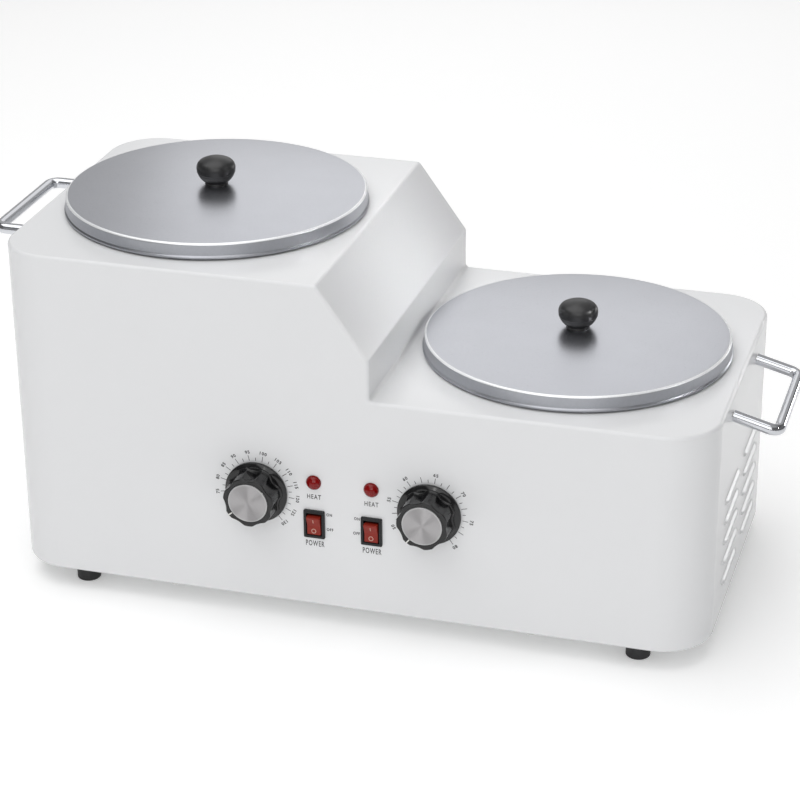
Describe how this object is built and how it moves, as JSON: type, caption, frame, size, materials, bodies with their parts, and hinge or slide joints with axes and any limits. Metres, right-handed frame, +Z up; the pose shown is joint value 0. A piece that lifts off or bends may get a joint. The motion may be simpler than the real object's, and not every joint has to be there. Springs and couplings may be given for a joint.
{
  "type": "wax warmer",
  "caption": "Twin table-top wax warmer: stepped white casing with a deep and a shallow heated well, lift-out pots, lids, dial thermostats, rocker switches and pilot lamps",
  "frame": {"origin": "on the floor, under the middle of the bounding box of the whole warmer", "axes": "+X is right seen from the front, +Y is towards the back, +Z is up"},
  "size_m": [0.57, 0.2726, 0.2915],
  "materials": {
    "white_paint": "gloss white enamel on sheet steel",
    "base_paint": "satin grey enamel",
    "foot_rubber": "matt black rubber",
    "gasket_rubber": "grey silicone rubber",
    "zinc_steel": "bright zinc plate",
    "heater_steel": "plain rolled steel",
    "chrome": "polished chrome plate",
    "spun_aluminium": "spun aluminium",
    "lid_aluminium": "fine satin aluminium",
    "brass": "plain brass",
    "black_knob": "glossy black phenolic",
    "moulded_black": "black moulded plastic",
    "moulded_white": "off-white moulded plastic",
    "lead_sleeve": "heat-proof lead sleeve",
    "red_rocker": "glossy red translucent plastic",
    "red_lens": "dark red glossy lens",
    "insulation_wool": "ceramic wool"
  },
  "bodies": {
    "housing": {"casing": "white_paint", "base_plate": "base_paint", "front_left_foot": "foot_rubber", "front_right_foot": "foot_rubber", "back_left_foot": "foot_rubber", "back_right_foot": "foot_rubber", "foot_screws": "zinc_steel", "foot_nuts": "zinc_steel", "base_screws": "zinc_steel", "handle_screws": "zinc_steel", "handle_washers": "zinc_steel", "bracket_screws": "zinc_steel", "clamp_screws": "zinc_steel", "well_nuts": "zinc_steel", "cutout_nuts": "zinc_steel", "thermostat_screws": "zinc_steel", "inlet_screws": "zinc_steel", "well_brackets": "zinc_steel", "earth_stud": "brass", "inlet_pins": "brass", "well_gaskets": "gasket_rubber", "thermal_cutouts": "moulded_black", "terminal_block": "moulded_white", "lamp_bodies": "moulded_black", "power_inlet": "moulded_black", "supply_leads": "lead_sleeve", "control_leads": "lead_sleeve", "heater_leads": "lead_sleeve", "left_handle": "chrome", "left_well": "spun_aluminium", "left_heater": "heater_steel", "left_insulation": "insulation_wool", "left_thermostat": "heater_steel", "left_capillary": "brass", "left_switch": "moulded_black", "left_lamp_lens": "red_lens", "right_handle": "chrome", "right_well": "spun_aluminium", "right_heater": "heater_steel", "right_insulation": "insulation_wool", "right_thermostat": "heater_steel", "right_capillary": "brass", "right_switch": "moulded_black", "right_lamp_lens": "red_lens"},
    "left_pot_body": {"left_pot": "spun_aluminium"},
    "left_lid_body": {"left_lid": "lid_aluminium", "left_lid_knob": "black_knob", "left_lid_screw": "zinc_steel"},
    "left_dial": {"left_dial_knob": "black_knob", "left_dial_cap": "spun_aluminium", "left_spindle": "zinc_steel"},
    "left_rocker_body": {"left_rocker": "red_rocker"},
    "right_pot_body": {"right_pot": "spun_aluminium"},
    "right_lid_body": {"right_lid": "lid_aluminium", "right_lid_knob": "black_knob", "right_lid_screw": "zinc_steel"},
    "right_dial": {"right_dial_knob": "black_knob", "right_dial_cap": "spun_aluminium", "right_spindle": "zinc_steel"},
    "right_rocker_body": {"right_rocker": "red_rocker"}
  },
  "joints": [
    {"name": "left_pot_lift", "type": "slide", "parent": "housing", "child": "left_pot_body", "axis": [0, 0, 1], "range_m": [0, 0.2]},
    {"name": "left_lid_lift", "type": "slide", "parent": "left_pot_body", "child": "left_lid_body", "axis": [0, 0, 1], "range_m": [0, 0.06]},
    {"name": "left_dial_turn", "type": "hinge", "parent": "housing", "child": "left_dial", "pos_m": [-0.063, -0.11625, 0.0985], "axis": [0, 1, 0], "range_deg": [0, 266.4]},
    {"name": "left_switch_rock", "type": "hinge", "parent": "housing", "child": "left_rocker_body", "pos_m": [-0.0219, -0.11525, 0.0788], "axis": [1, 0, 0], "range_deg": [0, 20]},
    {"name": "right_pot_lift", "type": "slide", "parent": "housing", "child": "right_pot_body", "axis": [0, 0, 1], "range_m": [0, 0.12]},
    {"name": "right_lid_lift", "type": "slide", "parent": "right_pot_body", "child": "right_lid_body", "axis": [0, 0, 1], "range_m": [0, 0.06]},
    {"name": "right_dial_turn", "type": "hinge", "parent": "housing", "child": "right_dial", "pos_m": [0.0602, -0.11625, 0.0985], "axis": [0, 1, 0], "range_deg": [0, 284.9]},
    {"name": "right_switch_rock", "type": "hinge", "parent": "housing", "child": "right_rocker_body", "pos_m": [0.0191, -0.11525, 0.0788], "axis": [1, 0, 0], "range_deg": [0, 20]}
  ]
}
